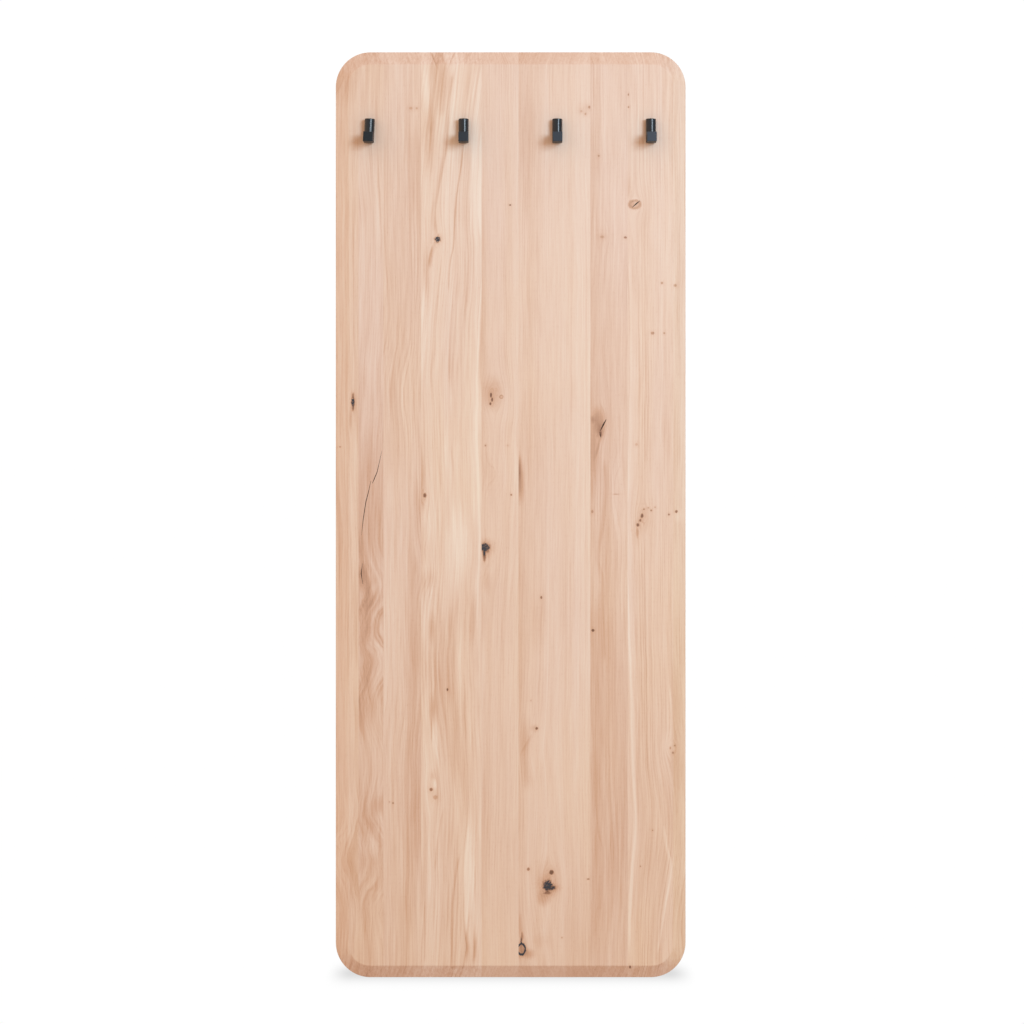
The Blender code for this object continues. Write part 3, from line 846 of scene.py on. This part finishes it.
def rounded(points, radii, steps=4):
    """A polyline with its inner corners eased by curves that start `radii` before each corner."""
    made = [Vector(points[0])]
    for before, corner, after, radius in zip(points, points[1:], points[2:], radii):
        corner = Vector(corner)
        start = corner + (Vector(before) - corner).normalized() * radius
        end = corner + (Vector(after) - corner).normalized() * radius
        for i in range(steps + 1):
            t = i / steps
            made.append(start * (1 - t) ** 2 + corner * 2 * t * (1 - t) + end * t**2)
    return made + [Vector(points[-1])]


def panel_ring(inset, y):
    """The panel's outline moved in by `inset`, at depth y."""
    ring = []
    for sx, sz, start in ((1, 1, 0), (-1, 1, 90), (-1, -1, 180), (1, -1, 270)):
        for i in range(CORNER_STEPS + 1):
            angle = math.radians(start + 90 * i / CORNER_STEPS)
            reach = CORNER_R - inset
            ring.append(
                (
                    sx * (HALF_W - CORNER_R) + reach * math.cos(angle),
                    y,
                    sz * (HALF_H - CORNER_R) + reach * math.sin(angle),
                )
            )
    return ring


def panel_mesh():
    """The whole panel: broken back arris, straight sides, wide front chamfer."""
    side = FRONT + CHAMFER_DEEP
    profile = rounded(
        ((BACK_ARRIS * 2, 0), (0, 0), (0, side), (CHAMFER_IN, FRONT), (CHAMFER_IN * 2, FRONT)),
        (BACK_ARRIS, SIDE_ROUND, FRONT_ROUND),
    )
    bm = bmesh.new()
    rings = [[bm.verts.new(co) for co in panel_ring(*level)] for level in profile[1:-1]]
    for low, high in zip(rings, rings[1:]):
        for i in range(len(low)):
            j = (i + 1) % len(low)
            bm.faces.new((low[i], low[j], high[j], high[i]))
    bm.faces.new(rings[0])
    bm.faces.new(rings[-1])
    bmesh.ops.recalc_face_normals(bm, faces=bm.faces)
    return bm


def trim(bm, x, side):
    """Cuts the mesh at x and closes it; side +1 drops what lies to the right."""
    made = bmesh.ops.bisect_plane(
        bm,
        geom=bm.verts[:] + bm.edges[:] + bm.faces[:],
        dist=0.0000005,
        plane_co=(x, 0, 0),
        plane_no=(side, 0, 0),
        clear_outer=True,
    )
    rim = [part for part in made["geom_cut"] if isinstance(part, bmesh.types.BMEdge)]
    bmesh.ops.holes_fill(bm, edges=rim, sides=0)


def block(low, high):
    bm = bmesh.new()
    bmesh.ops.create_cube(bm, size=1.0)
    bmesh.ops.scale(bm, vec=Vector(high) - Vector(low), verts=bm.verts)
    bmesh.ops.translate(bm, vec=(Vector(low) + Vector(high)) / 2, verts=bm.verts)
    return bm


def turned(profile, steps):
    """A closed body from (radius, distance) pairs turned about the Y axis; the ends lie on the axis."""
    bm = bmesh.new()
    points = [bm.verts.new((radius, along, 0)) for radius, along in profile]
    edges = [bm.edges.new(pair) for pair in zip(points, points[1:])]
    bmesh.ops.spin(
        bm, geom=points + edges, cent=(0, 0, 0), axis=(0, 1, 0), angle=2 * math.pi, steps=steps
    )
    bmesh.ops.remove_doubles(bm, verts=bm.verts, dist=0.000005)
    return bm


def mesh_object(name, bm, material=None):
    bmesh.ops.recalc_face_normals(bm, faces=bm.faces)
    mesh = bpy.data.meshes.new(name)
    bm.to_mesh(mesh)
    bm.free()
    obj = bpy.data.objects.new(name, mesh)
    bpy.context.scene.collection.objects.link(obj)
    if material is not None:
        mesh.materials.append(material)
    return obj


def carve(obj, cutters):
    """Takes the cutters' shapes out of the piece and settles the result in its own mesh."""
    for cutter in cutters:
        step = obj.modifiers.new("carve", "BOOLEAN")
        step.operation = "DIFFERENCE"
        step.solver = "EXACT"
        step.object = cutter
    settle(obj)


def settle(obj):
    graph = bpy.context.evaluated_depsgraph_get()
    graph.update()
    mesh = bpy.data.meshes.new_from_object(obj.evaluated_get(graph))
    old = obj.data
    obj.modifiers.clear()
    obj.data = mesh
    bpy.data.meshes.remove(old)


def smooth(obj, degrees):
    for face in obj.data.polygons:
        face.use_smooth = True
    obj.data.set_sharp_from_angle(angle=math.radians(degrees))


def piece(obj, node):
    """The piece is part of the rack and stands for that CAD node."""
    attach(obj, "root")
    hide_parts(node)


def rod_cutter(node, front, back):
    """A bore round a turned CAD node."""
    low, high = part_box(node)
    radius = (high.x - low.x) / 2 + FIT
    bm = turned(((0, front), (radius, front), (radius, back), (0, back)), 32)
    bmesh.ops.translate(bm, vec=((low.x + high.x) / 2, 0, (low.z + high.z) / 2), verts=bm.verts)
    return bm


def panel_cutters():
    """(mesh, lowest x, highest x) of each recess that the fittings sit in."""
    made = []

    def note(bm):
        xs = [v.co.x for v in bm.verts]
        made.append((bm, min(xs), max(xs)))

    for place in ("upper", "lower"):
        low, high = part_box(f"stiffener_{place}")
        grow = Vector((FIT, FIT, FIT))
        note(block(low - grow, high + grow + Vector((0, RUN_OUT, 0))))
        for side in ("left", "middle", "right"):
            node = f"stiffener_{place}_screw_{side}"
            head_low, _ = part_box(node)
            note(rod_cutter(node, head_low.y - FIT, low.y))
    for side in ("left", "right"):
        low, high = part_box(f"hanger_{side}")
        grow = Vector((FIT, FIT, FIT))
        note(block(low - grow, high + grow + Vector((0, RUN_OUT, 0))))
        centre = (low + high) / 2
        note(
            block(
                (centre.x - POCKET_SIDE, -POCKET_DEEP, centre.z - POCKET_DOWN),
                (centre.x + POCKET_SIDE, -POCKET_START, centre.z + POCKET_UP),
            )
        )
    for number in range(1, HOOKS + 1):
        node = f"hook_{number}_insert"
        low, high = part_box(node)
        note(rod_cutter(node, FRONT - 0.002, high.y + 0.0015))
    return made


def blade(points):
    """A thin blade that follows (x, z, width) points across the panel's face and reaches 3 mm into it."""
    bm = bmesh.new()
    rows = []
    for i, (x, z, width) in enumerate(points):
        before = points[max(i - 1, 0)]
        after = points[min(i + 1, len(points) - 1)]
        along = Vector((after[0] - before[0], after[1] - before[1])).normalized()
        side = Vector((-along.y, along.x)) * width / 2
        rows.append(
            [
                bm.verts.new((x + side.x * s, FRONT + deep, z + side.y * s))
                for s, deep in ((1, -0.001), (-1, -0.001), (-1, 0.003), (1, 0.003))
            ]
        )
    for low, high in zip(rows, rows[1:]):
        for i in range(4):
            j = (i + 1) % 4
            bm.faces.new((low[i], low[j], high[j], high[i]))
    bm.faces.new(rows[0])
    bm.faces.new(rows[-1])
    bmesh.ops.recalc_face_normals(bm, faces=bm.faces)
    return bm


def staves():
    cutters = []
    for i, (bm, low, high) in enumerate(panel_cutters()):
        cutters.append((mesh_object(f"cutter_{i}", bm), low, high))
    for number in range(1, STAVES + 1):
        for points in LOOKS[number].get("cracks", ()):
            xs = [point[0] for point in points]
            cutters.append((mesh_object(f"blade_{number}", blade(points)), min(xs), max(xs)))
    edges = (None, *SEAMS, None)
    for number, (left, right) in enumerate(zip(edges, edges[1:]), start=1):
        bm = panel_mesh()
        if left is not None:
            trim(bm, left + GLUE_GAP / 2, -1)
        if right is not None:
            trim(bm, right - GLUE_GAP / 2, 1)
        stave = mesh_object(f"oak_stave_{number}", bm, oak(f"oak_{number}", LOOKS[number], number * 1.37))
        low_x = -HALF_W if left is None else left
        high_x = HALF_W if right is None else right
        carve(stave, [cutter for cutter, low, high in cutters if high > low_x and low < high_x])
        smooth(stave, 5)
        piece(stave, f"stave_{number}")
    for cutter, _, _ in cutters:
        bpy.data.meshes.remove(cutter.data)


# ---------------------------------------------------------------- hooks


def black_coat(name, gloss, specular, face):
    """Black powder coat with a fine orange peel. Where it looks straight out along y its colour is `face`,
    running from the left hook to the right one; this and the darker black of its other sides are painted
    light and shade."""
    tree = Tree(name)
    x, y, z = tree.position()
    _, normal_y, _ = tree.normal()
    peel = tree.noise(x * 1500, y * 1500, z * 1500, detail=2.0)
    cloud = tree.noise(x * 260, y * 260, z * 260, detail=2.0)
    painted_front_mask = abs(normal_y).clear(0.3, 0.9)
    front = tree.ramp(x + cloud * 0.05, ((-0.26, face[0]), (0.26, face[1])))
    tree.put(tree.shader.inputs["Base Color"], tree.mix(painted_front_mask, (0.010, 0.013, 0.016), front))
    tree.put(tree.shader.inputs["Roughness"], gloss + peel * 0.01)
    tree.shader.inputs["Specular IOR Level"].default_value = specular
    tree.shader.inputs["Specular Tint"].default_value = (1.0, 0.80, 0.72, 1.0)
    tree.bump(peel, 0.000002)
    return tree.material


def hooks():
    # The posts' faces that look straight out get a painted teal tint; the pegs' get a painted sheen that
    # grows
    # from the left hook to the right one, against their darker sides, which are painted shade.
    satin = black_coat("black_satin", 0.21, 0.55, ((0.001, 0.018, 0.028), (0.001, 0.018, 0.028)))
    flat = black_coat("black_flat", 0.50, 0.30, ((0.008, 0.018, 0.025), (0.046, 0.064, 0.086)))
    for number in range(1, HOOKS + 1):
        for part, coat in (("post", satin), ("peg", flat)):
            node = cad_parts[f"hook_{number}_{part}"]
            node.data.materials.clear()
            node.data.materials.append(coat)


# ---------------------------------------------------------------- steel and brass


def metal(name, color, roughness, brushed):
    tree = Tree(name)
    x, y, z = tree.position()
    scratches = tree.noise(x * brushed, y * 900, z * 900, detail=2.0, rough=0.6)
    bloom = tree.noise(x * 60, y * 60, z * 60, detail=3.0)
    dark = tuple(c * 0.82 for c in color)
    shade = tree.ramp(bloom + scratches * 0.4, ((-0.8, dark), (0.8, color)))
    tree.put(tree.shader.inputs["Base Color"], shade)
    tree.put(tree.shader.inputs["Roughness"], roughness + scratches * 0.10 + bloom * 0.06)
    tree.shader.inputs["Metallic"].default_value = 1.0
    tree.bump(scratches, 0.00002)
    return tree.material


def fittings():
    steel = metal("zinc_steel", (0.62, 0.63, 0.65), 0.38, 60)
    brass = metal("brass_insert", (0.78, 0.60, 0.30), 0.34, 500)
    for name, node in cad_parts.items():
        finish = None
        if name.startswith(("stiffener", "hanger")) or name.endswith("_stud"):
            finish = steel
        elif name.endswith("_insert"):
            finish = brass
        if finish is not None:
            node.data.materials.clear()
            node.data.materials.append(finish)


# ---------------------------------------------------------------- stage, light and camera


CAMERA_EYE = (0.0023, -4.030, 0.2244)
CAMERA_LENS = 81.5
CAMERA_SHIFT_Y = -0.124

HOOKS_MIDDLE = Vector((0, FRONT, 0.65))
WARM = (0.735, 0.545, 0.415)
COOL = (0.76, 1.14, 1.45)

FLOOR_SIZE = 30.0
FLOOR_DROP = 0.0004
FLOOR_WHITE = 1.004
FLOOR_BOUNCE = 0.82
# The painted shadow round the foot: its middle and reach in depth, where it starts and ends beside the panel,
# and how dark it is.
PAINTED_SHADOW_MIDDLE = 0.012
PAINTED_SHADOW_REACH = 0.056
PAINTED_SHADOW_OUTSIDE = 0.022
PAINTED_SHADOW_INSIDE = 0.028
PAINTED_SHADOW_DARK = 0.285
# The sky: its white, and how its glow changes towards + X and upward.
SKY_WHITE = 1.02
SKY_SIDEWAYS = -0.42
SKY_UPWARD = 0.15


def softbox(name, azimuth, elevation, distance, size, power, color):
    """A square area light, seen from the hooks at that angle; azimuth 0 is straight out from the front."""
    a = math.radians(azimuth)
    e = math.radians(elevation)
    out = Vector((math.sin(a) * math.cos(e), -math.cos(a) * math.cos(e), math.sin(e)))
    light = bpy.data.lights.new(name, "AREA")
    light.shape = "SQUARE"
    light.size = size
    light.energy = power
    light.color = color
    obj = bpy.data.objects.new(name, light)
    obj.location = HOOKS_MIDDLE + out * distance
    obj.rotation_mode = "QUATERNION"
    obj.rotation_quaternion = (-out).to_track_quat("-Z", "Y")
    obj.visible_camera = False
    bpy.context.scene.collection.objects.link(obj)


def stage():
    """A white floor with a soft painted shadow round the panel's foot, drawn in its material."""
    bm = bmesh.new()
    bmesh.ops.create_grid(bm, x_segments=2, y_segments=2, size=FLOOR_SIZE)
    bmesh.ops.translate(bm, vec=(0, 0, PANEL_LOW.z - FLOOR_DROP), verts=bm.verts)
    tree = Tree("white_floor")
    floor = mesh_object("floor", bm, tree.material)
    nodes, links = tree.nodes, tree.links
    output = nodes["Material Output"]
    x, y, _ = tree.position()
    along = abs(x).clear(HALF_W + PAINTED_SHADOW_OUTSIDE, HALF_W - PAINTED_SHADOW_INSIDE)
    shade = FLOOR_WHITE - along * ((y - PAINTED_SHADOW_MIDDLE) / PAINTED_SHADOW_REACH).bell() * PAINTED_SHADOW_DARK
    glow = nodes.new("ShaderNodeEmission")
    tree.put(glow.inputs["Strength"], shade)
    bounce = nodes.new("ShaderNodeEmission")
    bounce.inputs["Color"].default_value = (*WARM, 1.0)
    bounce.inputs["Strength"].default_value = FLOOR_BOUNCE
    seen = nodes.new("ShaderNodeLightPath")
    both = nodes.new("ShaderNodeMixShader")
    links.new(seen.outputs["Is Camera Ray"], both.inputs["Fac"])
    links.new(bounce.outputs["Emission"], both.inputs[1])
    links.new(glow.outputs["Emission"], both.inputs[2])
    links.new(both.outputs["Shader"], output.inputs["Surface"])


def sky():
    """White where the camera sees it; for all else a warm glow, stronger from above and from the left."""
    world = bpy.data.worlds.new("studio")
    bpy.context.scene.world = world
    world.use_nodes = True
    nodes, links = world.node_tree.nodes, world.node_tree.links
    glow = nodes["Background"]
    glow.inputs["Color"].default_value = (*WARM, 1.0)
    place = nodes.new("ShaderNodeTexCoord")
    parts = nodes.new("ShaderNodeSeparateXYZ")
    sideways = nodes.new("ShaderNodeMath")
    sideways.operation = "MULTIPLY_ADD"
    sideways.inputs[1].default_value = SKY_SIDEWAYS
    sideways.inputs[2].default_value = 1.0
    upward = nodes.new("ShaderNodeMath")
    upward.operation = "MULTIPLY_ADD"
    upward.inputs[1].default_value = SKY_UPWARD
    links.new(place.outputs["Generated"], parts.inputs["Vector"])
    links.new(parts.outputs["X"], sideways.inputs[0])
    links.new(parts.outputs["Z"], upward.inputs[0])
    links.new(sideways.outputs["Value"], upward.inputs[2])
    links.new(upward.outputs["Value"], glow.inputs["Strength"])
    white = nodes.new("ShaderNodeBackground")
    white.inputs["Color"].default_value = (1.0, 1.0, 1.0, 1.0)
    white.inputs["Strength"].default_value = SKY_WHITE
    seen = nodes.new("ShaderNodeLightPath")
    both = nodes.new("ShaderNodeMixShader")
    links.new(seen.outputs["Is Camera Ray"], both.inputs["Fac"])
    links.new(glow.outputs["Background"], both.inputs[1])
    links.new(white.outputs["Background"], both.inputs[2])
    links.new(both.outputs["Shader"], nodes["World Output"].inputs["Surface"])


def camera():
    data = bpy.data.cameras.new("camera")
    data.lens = CAMERA_LENS
    data.sensor_width = 36.0
    data.shift_y = CAMERA_SHIFT_Y
    obj = bpy.data.objects.new("camera", data)
    obj.location = CAMERA_EYE
    obj.rotation_euler = (math.radians(90), 0, 0)
    bpy.context.scene.collection.objects.link(obj)
    bpy.context.scene.camera = obj


staves()
hooks()
fittings()
stage()
sky()
softbox("key", 30, 10, 4.2, 1.6, 84, COOL)
softbox("back_fill", 200, 25, 3.5, 2.4, 60, (1.0, 0.98, 0.95))
camera()
bpy.context.scene.view_settings.view_transform = "Standard"
